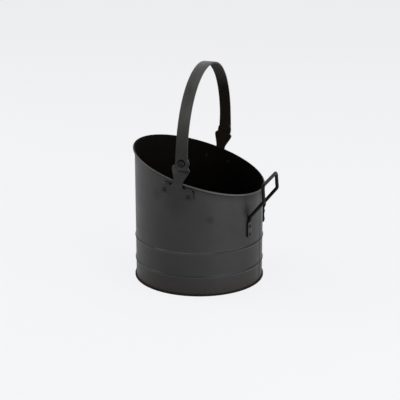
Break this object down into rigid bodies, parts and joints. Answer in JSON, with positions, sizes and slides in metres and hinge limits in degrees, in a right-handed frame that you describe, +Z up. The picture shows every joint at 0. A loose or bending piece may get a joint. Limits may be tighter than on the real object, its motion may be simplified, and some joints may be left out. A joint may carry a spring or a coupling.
{
  "type": "coal scuttle",
  "caption": "Round open-topped steel coal scuttle with a slanted curled rim, a swinging strap bail on riveted ears and a bent-rod tipping handle at the back.",
  "frame": {"origin": "on the bucket's axis, on the surface that the base stands on", "axes": "+Z up along the bucket's axis, +X towards the tipping handle at the low side of the rim, bail pivots along Y"},
  "size_m": [0.3097, 0.3106, 0.4789],
  "materials": {
    "body_paint": "satin black paint on rolled sheet steel",
    "bail_paint": "satin black paint on forged strap and ears",
    "rod_paint": "satin black paint on bent round rod",
    "rivet_paint": "satin black paint on domed rivets",
    "wire": "bare drawn steel wire inside the curl"
  },
  "bodies": {
    "bucket": {"body_shell": "body_paint", "rim_wire": "wire", "base_pan": "body_paint", "ear_left": "bail_paint", "ear_right": "bail_paint", "ear_rivet_1": "rivet_paint", "ear_rivet_2": "rivet_paint", "ear_rivet_3": "rivet_paint", "ear_rivet_4": "rivet_paint", "pivot_rivet_1": "rivet_paint", "pivot_rivet_2": "rivet_paint", "tipping_handle": "rod_paint", "foot_rivet_1": "rivet_paint", "foot_rivet_2": "rivet_paint", "foot_rivet_3": "rivet_paint", "foot_rivet_4": "rivet_paint"},
    "bail": {"bail_strap": "bail_paint"}
  },
  "joints": [
    {"name": "bail_swing", "type": "hinge", "parent": "bucket", "child": "bail", "pos_m": [0.01184, 0, 0.29624], "axis": [0, 1, 0], "range_deg": [-118.5, 110]}
  ]
}
